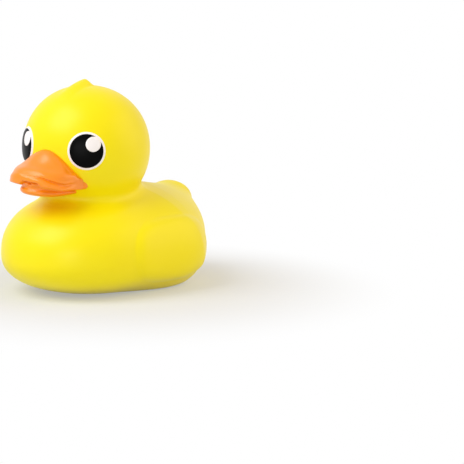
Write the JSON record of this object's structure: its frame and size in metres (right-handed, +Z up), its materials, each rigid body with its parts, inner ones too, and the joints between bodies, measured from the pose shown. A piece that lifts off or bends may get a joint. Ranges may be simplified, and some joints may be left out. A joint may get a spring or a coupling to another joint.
{
  "type": "rubber duck",
  "caption": "Hollow soft vinyl bath duck with a round head, flared bill, low wings, upturned tail and a squeaker in its flat base.",
  "frame": {"origin": "middle of the duck's outline, on the plane of its flat base", "axes": "+Z up, -Y the way the duck looks, +X toward the duck's own left side"},
  "size_m": [0.08, 0.1086, 0.0885],
  "materials": {
    "yellow_vinyl": "soft satin vinyl, with glossy orange paint on the bill and glossy black and white paint on the eyes",
    "squeaker_plastic": "plain moulded polyethylene",
    "reed_brass": "plain rolled strip"
  },
  "bodies": {
    "root": {"duck_shell": "yellow_vinyl", "squeaker_housing": "squeaker_plastic", "reed_block": "squeaker_plastic", "squeaker_reed": "reed_brass"}
  },
  "joints": []
}
